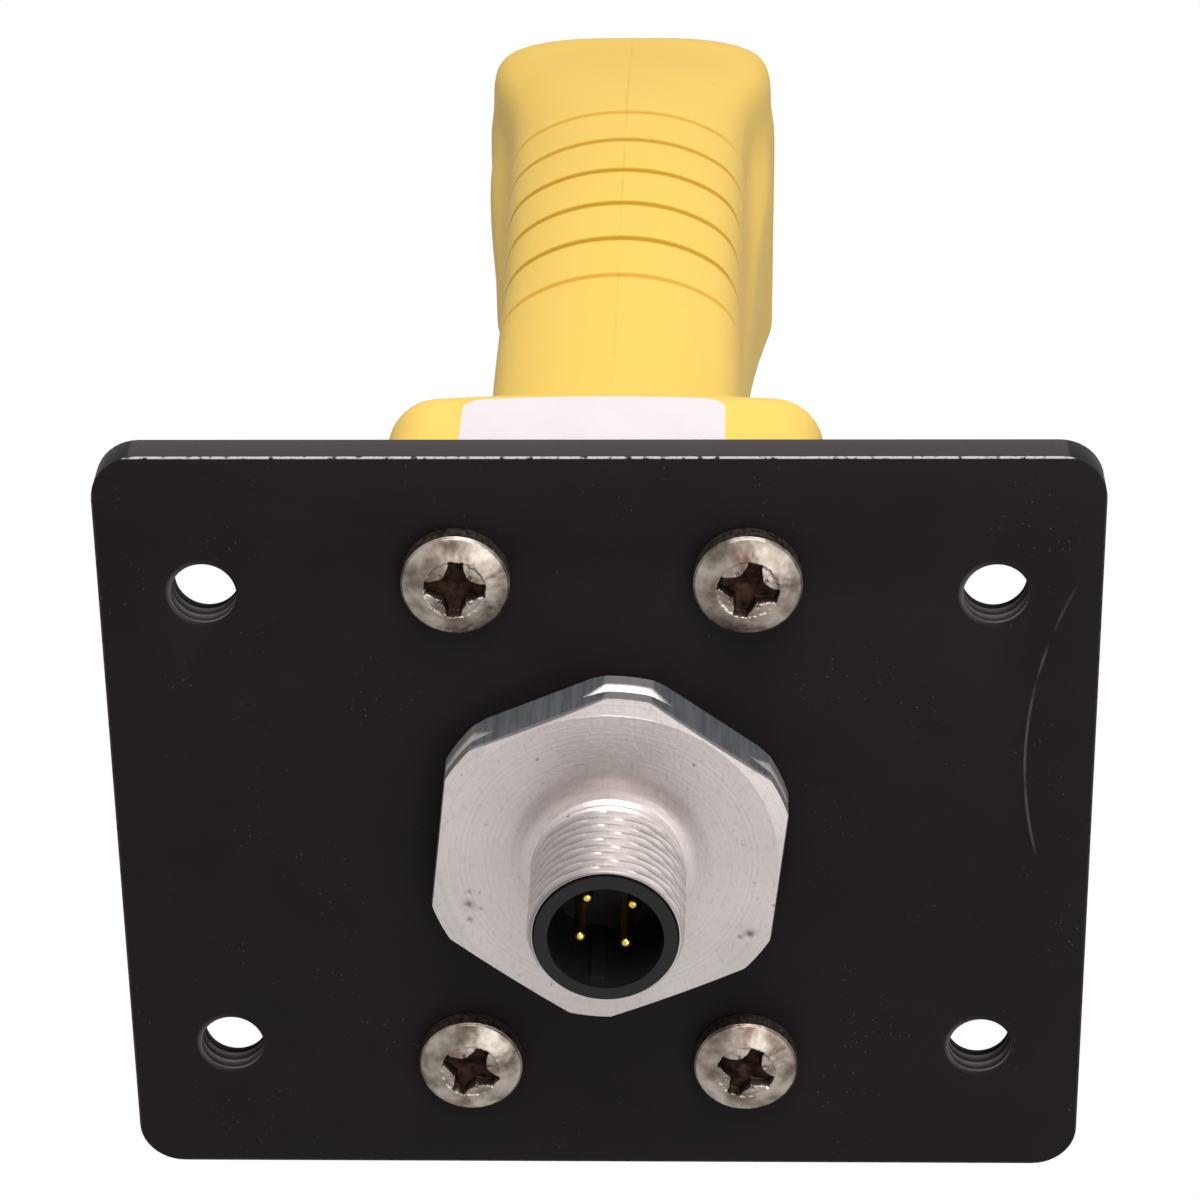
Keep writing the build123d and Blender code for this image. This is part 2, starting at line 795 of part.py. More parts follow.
def contact_bridges():
    half = contact_half_spacing + contact_width / 2
    y_range = (carriage_middle - bridge_depth / 2, carriage_middle + bridge_depth / 2)
    low = plunger_z - carriage_half_height
    high = plunger_z + carriage_half_height
    return [
        block((-half, half), y_range, (low - bridge_thickness, low)),
        block((-half, half), y_range, (high, high + bridge_thickness)),
    ]


def contact_shapes(grow=0.0):
    """Lower straight blades and upper angled strips of the fixed contacts, grown by a clearance."""
    reach = carriage_half_height + bridge_thickness + contact_gap
    made_y = carriage_middle + plunger_travel / 2
    half = contact_thickness / 2 + grow
    blade_end = plunger_z - switch_half_height - terminal_drop - grow
    rear_y = cavity_back + contact_thickness
    roof = plunger_z + cavity_half_height
    shapes = []
    for side in (-1, 1):
        x_range = (
            side * contact_half_spacing - contact_width / 2 - grow,
            side * contact_half_spacing + contact_width / 2 + grow,
        )
        lower = block(x_range, (made_y - half, made_y + half), (blade_end, plunger_z - reach))
        strip = block(x_range, (made_y - half, rear_y + half), (roof - contact_thickness - grow, roof + grow))
        bump = block(x_range, (made_y - half, made_y + half), (plunger_z + reach, roof))
        tail = block(x_range, (rear_y - half, rear_y + half), (blade_end, roof))
        shapes += [lower, strip + bump + tail]
    return shapes


def fixed_contacts():
    return contact_shapes()


def signal_wires():
    """Insulated wires that run from the terminals down to the solder cups."""
    blade_end = plunger_z - switch_half_height - terminal_drop
    cup_end = shank_length + cup_length
    front_y = carriage_middle + plunger_travel / 2
    rear_y = cavity_back + contact_thickness
    routes = (
        (pin_angles[0], contact_half_spacing, rear_y),
        (pin_angles[1], -contact_half_spacing, rear_y),
        (pin_angles[2], -contact_half_spacing, front_y),
        (pin_angles[3], contact_half_spacing, front_y),
    )
    wires = []
    for angle, terminal_x, terminal_y in routes:
        cup_x, cup_y = polar(pin_circle_radius, angle)
        cup_x += connector_centre[0] - grip_centre[0]
        cup_y += connector_centre[1] - grip_centre[1]
        straight = (blade_end - cup_end) / 5
        points = [
            Vector(cup_x, cup_y, cup_end),
            Vector(cup_x, cup_y, cup_end + straight),
            Vector(terminal_x, terminal_y, blade_end - straight),
            Vector(terminal_x, terminal_y, blade_end),
        ]
        turn = (points[1] - points[0]).get_angle(points[2] - points[1])
        radius = 0.45 * straight / math.tan(math.radians(turn / 2))
        path = FilletPolyline(*points, radius=radius)
        wires.append(sweep(Plane(origin=points[0], z_dir=(0, 0, 1)) * Circle(wire_diameter / 2), path))
    return wires


plate_nodes = [mounting_plate]
connector_nodes = [
    connector_shell,
    flange_seal,
    connector_insert,
    contact_pins,
    lock_washer,
    connector_nut,
]
grip_nodes = [
    base_screws,
    thread_inserts,
    base_gasket,
    left_grip_shell,
    right_grip_shell,
    shell_screws,
    type_label,
    trigger,
    trigger_pin,
    trigger_spring,
    switch_body,
    switch_cover,
    switch_screws,
    plunger,
    plunger_spring,
    contact_bridges,
    fixed_contacts,
    signal_wires,
]

os.makedirs("parts", exist_ok=True)
groups = ((Pos(0, 0, 0), plate_nodes), (connector_place, connector_nodes), (grip_place, grip_nodes))
for place, nodes in groups:
    for make_node in nodes:
        save(make_node(), place, make_node.__name__)
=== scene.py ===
import json
import math
import bmesh
import bpy
from mathutils import Matrix, Vector, noise


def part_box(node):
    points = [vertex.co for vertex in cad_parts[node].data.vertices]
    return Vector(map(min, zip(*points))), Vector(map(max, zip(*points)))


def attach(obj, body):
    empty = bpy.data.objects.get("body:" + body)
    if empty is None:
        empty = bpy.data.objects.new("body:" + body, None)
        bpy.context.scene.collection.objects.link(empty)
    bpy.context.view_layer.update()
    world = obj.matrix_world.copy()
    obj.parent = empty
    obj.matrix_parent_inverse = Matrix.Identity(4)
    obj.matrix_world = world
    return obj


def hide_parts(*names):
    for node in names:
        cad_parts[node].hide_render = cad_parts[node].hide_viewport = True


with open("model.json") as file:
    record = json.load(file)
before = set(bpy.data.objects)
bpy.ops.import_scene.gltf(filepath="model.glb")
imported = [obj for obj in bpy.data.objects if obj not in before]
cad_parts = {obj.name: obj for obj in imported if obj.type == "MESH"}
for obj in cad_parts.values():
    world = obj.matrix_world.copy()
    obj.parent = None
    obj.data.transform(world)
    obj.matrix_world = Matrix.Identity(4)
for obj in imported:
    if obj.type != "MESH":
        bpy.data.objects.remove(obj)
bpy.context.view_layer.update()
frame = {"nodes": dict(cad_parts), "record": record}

MM = 0.001
# Radius of the tiny opening that turned pieces have at their axis
axis_gap = 0.02

# Camera: the viewpoint seen from the connector side, tilted towards the palm
camera_elevation = math.radians(28.18)
camera_azimuth = math.radians(-1.81)
camera_roll = math.radians(-0.83)
camera_distance = 314.77 * MM
camera_target = Vector((-0.08, 19.96, 0.0)) * MM
camera_lens = 124.78
sensor_width = 36.0

# Plate
plate_half_width = 38.0
plate_half_depth = 32.0
plate_thickness = 3.0
plate_edge_bevel = 0.13
mount_half_spacing = (30.0, 20.5)
mount_thread_root = 2.92
mount_thread_crest = 2.5
mount_thread_pitch = 1.0
mount_thread_run_out = 0.25
mount_groove_power = 0.8
mount_thread_spokes = 120
mount_thread_steps = 60

# Long scratch in the plate's paint
scratch_centre = (-66.95 * MM, 6.3 * MM)
scratch_radius = 34.3

# Grooves across the palm and the seam of the two shells
groove_count = 6
groove_top = 97.7
groove_pitch = 7.8
groove_width = 0.7
palm_edge = (12.5, 17.5)
seam_x = -0.25

# Screws between the plate and the grip
screw_head_radius = 4.1
screw_head_height = 2.9
screw_side_height = 1.6
screw_rim_height = 0.12
screw_rim_round = 0.15
screw_shank_radius = 2.0
screw_length = 12.0
screw_turns = {(1, 1): 3.0, (-1, 1): 15.0, (1, -1): 27.0, (-1, -1): 25.0}
recess_arm_length = 2.35
recess_arm_half_width = 0.58
recess_root_gain = 0.4
recess_depth = 1.7
recess_wall = 0.2
recess_zone = 2.7
recess_floor_rise = 0.36
recess_root_reach = 2.1
recess_root_length = 1.4
recess_end_slope = 0.7
recess_wander = 0.05
burr_reach = 2.4
burr_depth = 0.16
burr_wander = 0.15
burr_fade = 0.2
dome_wear = 0.03
tick_depth = 0.16
tick_reach = 1.75
tick_half_width = 0.16
tick_fade = 0.1
knurl_depth = 0.07
screw_spokes = 240
dome_rings = 60
rim_rings = 18

# Connector
hex_across_flats = 26.6
hex_twist = 6.6
hex_thickness = 4.2
washer_face_radius = 13.05
corner_cone_rise = 0.24
nose_radius = 6.0
nose_tip = -14.7
nose_bore_radius = 5.45
nose_bore_chamfer = (0.1, 0.15)
nose_thread_pitch = 1.0
nose_thread_depth = 0.5
nose_thread_start = -5.7
nose_thread_run_out = 0.5
nose_thread_tip_share = 0.35
nose_groove_power = 0.4
# Share of the thread roots' painted shade and dullness that the crests also take
crest_shade_share = 0.4
nose_thread_steps_per_turn = 14
nose_chamfer = 0.4
shank_radius = 8.0
shank_bore_radius = 6.3
shank_length = 9.5
insert_shoulder = -3.0
seal_groove_depth = 1.4
seal_groove_radii = (9.2, 10.8)
pin_radius = 0.5
pin_circle_radius = 2.5
pin_twist = 9.4
cup_radius = 0.85
cup_bore = 0.55
cup_length = 2.0
cup_depth = 1.4
pin_spokes = 40
connector_spokes = 540
# Undercut between the thread and the hexagon: radius and height of each bend
nose_undercut = ((5.95, -5.5), (5.5, -5.3), (5.5, -4.6), (5.75, -4.28), (6.3, -4.12))
# Inner edge of the hexagon's face and the shallow dish round it
face_inner_radius = 6.6
face_dish_radius = 8.2
face_dish_depth = 0.1
face_steps = 54
face_rim_step = 0.04
face_rim_inset = 0.1
pit_dullness = 7
outline_parts = 6
# Turned outline of the hexagon block: radius, height, and the share of the flats' darker painted shade and
# dull finish at each bend
turned_outline = (
    (14.4, -3.7, 0.6),
    (14.45, -2.9, 0.6),
    (13.82, -2.45, 0.3),
    (13.84, -2.42, 0.15),
    (14.4, -1.55, 0.15),
    (14.4, -1.5, 0.6),
    (14.4, -0.35, 0.55),
    (14.05, 0.0, 0.3),
)
# Pits in the hexagon's face: angle in degrees, radius, width and depth
face_pits = (
    (-19.5, 11.6, 0.5, 0.12),
    (-25.8, 12.1, 0.35, 0.1),
    (-14.0, 11.2, 0.3, 0.08),
    (-23.0, 10.9, 0.25, 0.08),
    (-149.0, 12.7, 0.5, 0.14),
    (-146.0, 12.2, 0.3, 0.1),
    (171.0, 10.4, 0.2, 0.06),
)

# Light: place, target, side length and power of each lamp, then the surroundings
key_lamp = ((-0.06, 0.62, -0.28), (0, 0.01, 0.04), 0.42, 4.7)
front_lamp = ((-0.24, 0.08, -0.42), (0, 0, 0.02), 0.35, 0.9)
ambient_strength = 0.28
floor_height = -0.75
floor_reach = 3.0
floor_mirrored_strength = 0.9

# How strong the finer layers are in every noise texture
noise_roughness = 0.55

connector_axis = (Vector(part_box("lock_washer")[0]) + Vector(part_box("lock_washer")[1])) / 2
screw_box = [Vector(corner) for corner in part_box("base_screws")]


def colour(red, green, blue):
    """A display colour, 0 to 255, as linear light."""
    values = [value / 255 for value in (red, green, blue)]
    return tuple(v / 12.92 if v <= 0.04045 else ((v + 0.055) / 1.055) ** 2.4 for v in values) + (1.0,)


class Finish:
    """A node material that is built up step by step around one shader."""

    def __init__(self, name, metallic=0.0, roughness=0.5, specular=0.5):
        self.material = bpy.data.materials.new(name)
        self.material.use_nodes = True
        self.nodes = self.material.node_tree.nodes
        self.links = self.material.node_tree.links
        self.shader = self.nodes["Principled BSDF"]
        self.shader.inputs["Metallic"].default_value = metallic
        self.shader.inputs["Roughness"].default_value = roughness
        self.shader.inputs["Specular IOR Level"].default_value = specular
        self.place = self.nodes.new("ShaderNodeTexCoord").outputs["Object"]
        self.height = None

    def mapped(self, scale):
        """Object coordinates stretched along each axis."""
        node = self.nodes.new("ShaderNodeMapping")
        node.inputs["Scale"].default_value = scale
        self.links.new(self.place, node.inputs["Vector"])
        return node.outputs["Vector"]

    def noise(self, scale, detail=4.0, stretch=None):
        """Value of a noise field. The scale counts features per millimetre."""
        node = self.nodes.new("ShaderNodeTexNoise")
        node.inputs["Scale"].default_value = scale / MM
        node.inputs["Detail"].default_value = detail
        node.inputs["Roughness"].default_value = noise_roughness
        self.links.new(self.mapped(stretch) if stretch else self.place, node.inputs["Vector"])
        return node.outputs["Fac"]

    def spots(self, scale):
        """Distance to the nearest of scattered points."""
        node = self.nodes.new("ShaderNodeTexVoronoi")
        node.inputs["Scale"].default_value = scale / MM
        self.links.new(self.place, node.inputs["Vector"])
        return node.outputs["Distance"]

    def attribute(self, name):
        node = self.nodes.new("ShaderNodeAttribute")
        node.attribute_name = name
        return node.outputs["Fac"]

    def maths(self, operation, first, second=None):
        """One arithmetic step on sockets or numbers."""
        node = self.nodes.new("ShaderNodeMath")
        node.operation = operation
        for socket, value in zip(node.inputs, (first, second)):
            if value is None:
                continue
            if isinstance(value, (int, float)):
                socket.default_value = value
            else:
                self.links.new(value, socket)
        return node.outputs[0]

    def times(self, first, *others):
        """Product of sockets or numbers."""
        for other in others:
            first = self.maths("MULTIPLY", first, other)
        return first

    def distance(self, value, place):
        """How far a value lies from a place, on either side."""
        return self.maths("ABSOLUTE", self.maths("SUBTRACT", value, place))

    def fade(self, value, low, high):
        """Goes from 0 to 1 as the value goes from low to high, smoothly."""
        node = self.nodes.new("ShaderNodeMapRange")
        node.interpolation_type = "SMOOTHSTEP"
        node.inputs["From Min"].default_value = low
        node.inputs["From Max"].default_value = high
        self.links.new(value, node.inputs["Value"])
        return node.outputs["Result"]

    def axes(self):
        node = self.nodes.new("ShaderNodeSeparateXYZ")
        self.links.new(self.place, node.inputs[0])
        return node.outputs

    def radius_from(self, centre):
        """Distance from an upright axis through a centre, in metres."""
        axes = self.axes()
        across = self.maths("SUBTRACT", axes[0], centre[0])
        along = self.maths("SUBTRACT", axes[1], centre[1])
        return self.maths("SQRT", self.maths("ADD", self.times(across, across), self.times(along, along)))

    def blend(self, factor, first, second):
        """Mix of two colours, each a socket or a value."""
        node = self.nodes.new("ShaderNodeMix")
        node.data_type = "RGBA"
        self.links.new(factor, node.inputs["Factor"])
        for socket, value in ((node.inputs[6], first), (node.inputs[7], second)):
            if isinstance(value, tuple):
                socket.default_value = value
            else:
                self.links.new(value, socket)
        return node.outputs[2]

    def over(self, base, top, *factors):
        """Lays a colour over another, as strongly as the product of the factors."""
        return self.blend(self.times(*factors), base, top)

    def set_colour(self, socket):
        self.links.new(socket, self.shader.inputs["Base Color"])

    def set_roughness(self, factor, low, high):
        node = self.nodes.new("ShaderNodeMapRange")
        node.inputs["To Min"].default_value = low
        node.inputs["To Max"].default_value = high
        self.links.new(factor, node.inputs["Value"])
        self.links.new(node.outputs["Result"], self.shader.inputs["Roughness"])

    def bump(self, height, distance):
        """Adds fine relief, with its full depth in millimetres."""
        node = self.nodes.new("ShaderNodeBump")
        node.inputs["Distance"].default_value = distance * MM
        node.inputs["Strength"].default_value = 1.0
        self.links.new(height, node.inputs["Height"])
        if self.height is not None:
            self.links.new(self.height, node.inputs["Normal"])
        self.height = node.outputs["Normal"]
        self.links.new(self.height, self.shader.inputs["Normal"])


def groove_shade_and_dirt(finish):
    """Painted shade, partly dirt, along the palm's grooves and a soft fringe beside them, from 0 outside to
    1 in the strongest ones.
    """
    axes = finish.axes()
    drop = finish.maths("SUBTRACT", groove_top * MM, axes[2])
    order = finish.maths("DIVIDE", drop, groove_pitch * MM)
    gap = finish.distance(order, finish.maths("ROUND", order))
    share = groove_width / groove_pitch
    line = finish.fade(gap, share * 1.1, share * 0.5)
    top_fade = finish.fade(order, -1.6, 2.0)
    low_fade = finish.fade(order, groove_count - 0.2, groove_count - 2)
    below_top = finish.fade(order, -0.5, -0.4)
    above_low = finish.fade(order, groove_count - 0.5, groove_count - 0.6)
    on_palm = finish.fade(axes[1], palm_edge[0] * MM, palm_edge[1] * MM)
    return finish.times(line, top_fade, low_fade, below_top, above_low, on_palm)


def yellow_plastic():
    """Fine matt moulded plastic with painted shade, partly dirt, in its grooves and faint scuffs."""
    finish = Finish("yellow_plastic", roughness=0.55, specular=0.12)
    axes = finish.axes()
    tone = finish.noise(0.035, detail=3.0)
    plastic = finish.blend(tone, colour(248, 206, 96), colour(254, 215, 112))
    scuffs = finish.fade(finish.noise(0.5, detail=5.0, stretch=(0.25, 1.0, 2.4)), 0.62, 0.75)
    plastic = finish.over(plastic, colour(226, 180, 78), scuffs, 0.22)
    # Painted shade, partly dirt: dark ochre along the palm's grooves
    plastic = finish.over(plastic, colour(204, 160, 36), groove_shade_and_dirt(finish), 0.75)
    seam = finish.fade(finish.distance(axes[0], seam_x * MM), 0.16 * MM, 0.05 * MM)
    broken = finish.fade(finish.noise(0.12), 0.35, 0.65)
    plastic = finish.over(plastic, colour(214, 166, 58), seam, broken, 0.3)
    finish.set_colour(plastic)
    finish.set_roughness(tone, 0.52, 0.6)
    finish.bump(finish.noise(2.6, detail=3.0), 0.012)
    finish.bump(finish.noise(0.12, detail=2.0), 0.05)
    return finish.material


def plate_paint():
    """Matt dark paint with dust, a long thin scratch and a chipped far edge."""
    finish = Finish("plate_paint", roughness=0.5, specular=0.1)
    axes = finish.axes()
    tone = finish.noise(0.15, detail=6.0)
    paint = finish.blend(tone, colour(18, 13, 15), colour(30, 24, 26))
    specks = finish.fade(finish.spots(1.6), 0.17, 0.06)
    dusty = finish.fade(finish.noise(0.13), 0.5, 0.66)
    paint = finish.over(paint, colour(112, 98, 96), specks, dusty, 0.32)
    paint = finish.over(paint, colour(118, 110, 110), finish.attribute("crest"), 0.6)
    from_scratch = finish.distance(finish.radius_from(scratch_centre), scratch_radius * MM)
    scratch = finish.fade(from_scratch, 0.14 * MM, 0.04 * MM)
    worn_through = finish.fade(finish.noise(0.22), 0.36, 0.56)
    far_end = finish.fade(axes[1], 22.0 * MM, 18.0 * MM)
    near_end = finish.fade(axes[1], -4.0 * MM, 0.0)
    paint = finish.over(paint, colour(112, 104, 104), scratch, worn_through, far_end, near_end, 0.4)
    edge_x = finish.maths("SUBTRACT", finish.maths("ABSOLUTE", axes[0]), plate_half_width * MM)
    edge_y = finish.maths("SUBTRACT", finish.maths("ABSOLUTE", axes[1]), plate_half_depth * MM)
    edge = finish.maths("MAXIMUM", edge_x, edge_y)
    side = finish.fade(edge, -0.08 * MM, -0.02 * MM)
    above_rim = finish.fade(axes[2], 0.1 * MM, 0.4 * MM)
    paint = finish.over(paint, colour(76, 70, 72), side, above_rim, 0.6)
    rim = finish.fade(edge, -0.17 * MM, -0.1 * MM)
    on_rim = finish.fade(axes[2], 0.2 * MM, 0.05 * MM)
    chips = finish.fade(finish.noise(1.5, detail=6.0), 0.36, 0.5)
    far_side = finish.fade(axes[1], (plate_half_depth - 0.8) * MM, (plate_half_depth - 0.4) * MM)
    chipped = finish.maths("ADD", finish.times(far_side, 0.88), 0.05)
    paint = finish.over(paint, colour(205, 200, 196), rim, on_rim, chips, chipped)
    finish.set_colour(paint)
    finish.set_roughness(tone, 0.46, 0.62)
    finish.bump(finish.noise(1.6, detail=4.0), 0.016)
    return finish.material


def turned_rings(finish, scale):
    """Noise that changes only with the distance from the connector's axis."""
    turning = finish.nodes.new("ShaderNodeCombineXYZ")
    finish.links.new(finish.radius_from(connector_axis), turning.inputs[0])
    rings = finish.nodes.new("ShaderNodeTexNoise")
    rings.inputs["Scale"].default_value = scale / MM
    rings.inputs["Detail"].default_value = 5.0
    finish.links.new(turning.outputs[0], rings.inputs["Vector"])
    return rings.outputs["Fac"]


def nickel_plated_metal():
    """Satin plated metal with turned rings on its face.

    The flats have upright milling marks and a darker painted shade. The thread takes painted shade, darkest
    and dullest in its roots, and the pits in the face are dark.
    """
    finish = Finish("nickel_plated_metal", metallic=0.8, roughness=0.36)
    rings = turned_rings(finish, 5.0)
    patches = finish.noise(0.16, detail=5.0)
    metal = finish.blend(patches, colour(196, 187, 184), colour(218, 209, 206))
    metal = finish.over(metal, colour(184, 175, 171), finish.fade(rings, 0.4, 0.7), 0.4)
    grain = finish.fade(finish.noise(2.6, detail=5.0, stretch=(1.0, 0.5, 1.0)), 0.5, 0.75)
    metal = finish.over(metal, colour(156, 146, 142), grain, 0.3)
    specks = finish.fade(finish.spots(0.62), 0.13, 0.06)
    speckled = finish.fade(finish.noise(0.3), 0.5, 0.6)
    metal = finish.over(metal, colour(104, 94, 88), specks, speckled, 0.6)
    flat = finish.attribute("flat")
    brushing = finish.noise(2.2, detail=4.0, stretch=(1.0, 1.0, 0.06))
    # Painted shade: the flats get a darker blue-grey tone, with upright milling streaks
    milling_streaks_and_shade = finish.blend(finish.fade(brushing, 0.35, 0.65), colour(78, 82, 86), colour(102, 107, 112))
    metal = finish.over(metal, milling_streaks_and_shade, flat, 0.95)
    # Painted shade in the thread, darkest in its roots; the same values darken the pits in the face
    root = finish.attribute("root")
    metal = finish.over(metal, colour(88, 79, 75), root, 0.95)
    finish.set_colour(metal)
    dull = finish.maths("MAXIMUM", finish.times(flat, 0.45), finish.times(root, 0.35))
    finish.links.new(finish.maths("SUBTRACT", 0.8, dull), finish.shader.inputs["Metallic"])
    finish.set_roughness(finish.maths("MAXIMUM", patches, flat), 0.32, 0.52)
    finish.bump(rings, 0.012)
    finish.bump(finish.noise(2.4, detail=5.0), 0.018)
    finish.bump(brushing, 0.016)
    return finish.material


def stainless_steel():
    """Worn steel with brown tints, a dull knurled side and a nearly black painted shade in the recess."""
    finish = Finish("stainless_steel", metallic=1.0, roughness=0.32)
    patches = finish.noise(0.5, detail=6.0)
    steel = finish.blend(finish.fade(patches, 0.32, 0.68), colour(104, 92, 82), colour(182, 173, 162))
    tint = finish.fade(finish.noise(0.33, detail=3.0), 0.55, 0.7)
    steel = finish.over(steel, colour(140, 104, 90), tint, 0.4)
    fine = finish.fade(finish.noise(4.0, detail=4.0), 0.5, 0.7)
    steel = finish.over(steel, colour(92, 82, 74), fine, 0.25)
    side = finish.attribute("side")
    knurl = finish.fade(finish.noise(2.4, detail=3.0), 0.35, 0.65)
    side_tone = finish.blend(knurl, colour(74, 64, 57), colour(132, 120, 111))
    steel = finish.over(steel, side_tone, side, 0.95)
    # Painted shade: the cross recess and the ticks between its arms are painted nearly black
    speckle = finish.fade(finish.noise(1.3, detail=5.0), 0.3, 0.7)
    recess_shade_tone = finish.blend(speckle, colour(24, 16, 12), colour(56, 41, 33))
    recess_shade_share = finish.attribute("recess")
    steel = finish.blend(recess_shade_share, steel, recess_shade_tone)
    finish.set_colour(steel)
    rough = finish.maths("MAXIMUM", patches, finish.maths("MAXIMUM", recess_shade_share, side))
    finish.set_roughness(rough, 0.26, 0.5)
    finish.bump(finish.noise(3.0, detail=5.0), 0.02)
    return finish.material


def plain_finish(name, dark, light, metallic, rough, grain, depth, specular=0.4):
    """A finish with a mottled tone between two colours and a fine grain."""
    finish = Finish(name, metallic=metallic, roughness=rough, specular=specular)
    tone = finish.noise(grain * 0.2, detail=5.0)
    finish.set_colour(finish.blend(tone, dark, light))
    finish.set_roughness(tone, rough - 0.06, rough + 0.06)
    finish.bump(finish.noise(grain, detail=3.0), depth)
    return finish.material


def make_materials():
    """One material for each slot of the record."""
    plain = {
        "brass": (colour(176, 138, 66), colour(206, 168, 92), 1.0, 0.3, 2.0, 0.01),
        "seal_rubber": (colour(24, 24, 24), colour(34, 34, 34), 0.0, 0.7, 2.0, 0.02),
        "insulator_plastic": (colour(12, 11, 12), colour(19, 17, 18), 0.0, 0.45, 2.4, 0.012, 0.3),
        "gilt_contact": (colour(214, 172, 84), colour(240, 206, 120), 1.0, 0.22, 2.0, 0.006),
        "label_film": (colour(228, 218, 222), colour(238, 230, 233), 0.0, 0.4, 1.2, 0.008),
        "trigger_plastic": (colour(30, 30, 31), colour(42, 42, 43), 0.0, 0.5, 2.4, 0.014),
        "spring_steel": (colour(150, 150, 150), colour(188, 188, 188), 1.0, 0.28, 3.0, 0.006),
        "switch_plastic": (colour(52, 52, 55), colour(66, 66, 70), 0.0, 0.5, 2.0, 0.012),
        "plunger_plastic": (colour(206, 205, 198), colour(222, 221, 214), 0.0, 0.4, 2.0, 0.008),
        "contact_alloy": (colour(196, 182, 160), colour(222, 212, 192), 1.0, 0.3, 2.0, 0.008),
        "wire_insulation": (colour(120, 66, 34), colour(142, 82, 44), 0.0, 0.4, 1.6, 0.008),
    }
    finishes = {
        "yellow_plastic": yellow_plastic(),
        "plate_paint": plate_paint(),
        "nickel_plated_metal": nickel_plated_metal(),
        "stainless_steel": stainless_steel(),
    }
    for name, values in plain.items():
        finishes[name] = plain_finish(name, *values)
    return finishes


def smooth(mesh, angle):
    """Smooth shading that keeps edges sharper than an angle."""
    mesh.polygons.foreach_set("use_smooth", [True] * len(mesh.polygons))
    mesh.set_sharp_from_angle(angle=math.radians(angle))


def add_piece(name, mesh, slot, body="housing"):
    """An object for a mesh that rides on a body and takes a slot's finish."""
    piece = bpy.data.objects.new(name, mesh)
    bpy.context.collection.objects.link(piece)
    mesh.materials.clear()
    mesh.materials.append(materials[slot])
    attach(piece, body)
    return piece


def directions(count):
    """Angles at even steps round a circle."""
    return [2 * math.pi * step / count for step in range(count)]


def circle(radius, z, count, centre=(0.0, 0.0)):
    """Points of a level ring, in millimetres."""
    x, y = centre
    return [(x + radius * math.cos(a), y + radius * math.sin(a), z) for a in directions(count)]


def ring_faces(ring_count, count):
    """Quads between neighbouring closed rings of vertices."""
    faces = []
    for ring in range(ring_count - 1):
        low = ring * count
        high = low + count
        for step in range(count):
            after = (step + 1) % count
            faces.append((low + step, low + after, high + after, high + step))
    return faces


def ring_mesh(name, rings):
    """Mesh through rings of points in millimetres, with a band of faces between each two."""
    points = [Vector(point) * MM for ring in rings for point in ring]
    mesh = bpy.data.meshes.new(name)
    mesh.from_pydata(points, [], ring_faces(len(rings), len(rings[0])))
    mesh.update()
    return mesh


def add_values(mesh, name, values):
    """Stores one number for each vertex, for the finish to read."""
    attribute = mesh.attributes.new(name, "FLOAT", "POINT")
    attribute.data.foreach_set("value", values)


def ease(value):
    """Goes from 0 to 1 smoothly as the value does, and stays at the ends beyond them."""
    value = max(0.0, min(1.0, value))
    return value * value * (3 - 2 * value)


def recess_share(x, y, seed):
    """How far a point lies inside the worn cross recess, from 0 outside to 1 on its floor."""
    wander = recess_wander * noise.noise(Vector((x * 1.7, y * 1.7, seed)))
    share = 0.0
    for along, across in ((abs(x), abs(y)), (abs(y), abs(x))):
        root = ease((recess_root_reach - along) / recess_root_length)
        half = recess_arm_half_width + wander + recess_root_gain * root
        gap = min(half - across, (recess_arm_length + 3 * wander - along) * recess_end_slope)
        share = max(share, ease(gap / recess_wall))
    return share


def tick_share(x, y):
    """How far a point lies inside the small marks between the arms of the recess."""
    along = (abs(x) + abs(y)) * math.sqrt(0.5)
    across = abs(abs(x) - abs(y)) * math.sqrt(0.5)
    return ease(min(tick_half_width - across, tick_reach - along) / tick_fade)


def screw_head_height_at(radius):
    """Height of the domed head above the plate at a distance from its axis."""
    share = max(0.0, 1.0 - (radius / screw_head_radius) ** 2)
    rim = screw_rim_height * ease((screw_head_radius - radius) / screw_rim_round)
    return screw_side_height + rim + (screw_head_height - screw_side_height - screw_rim_height) * share


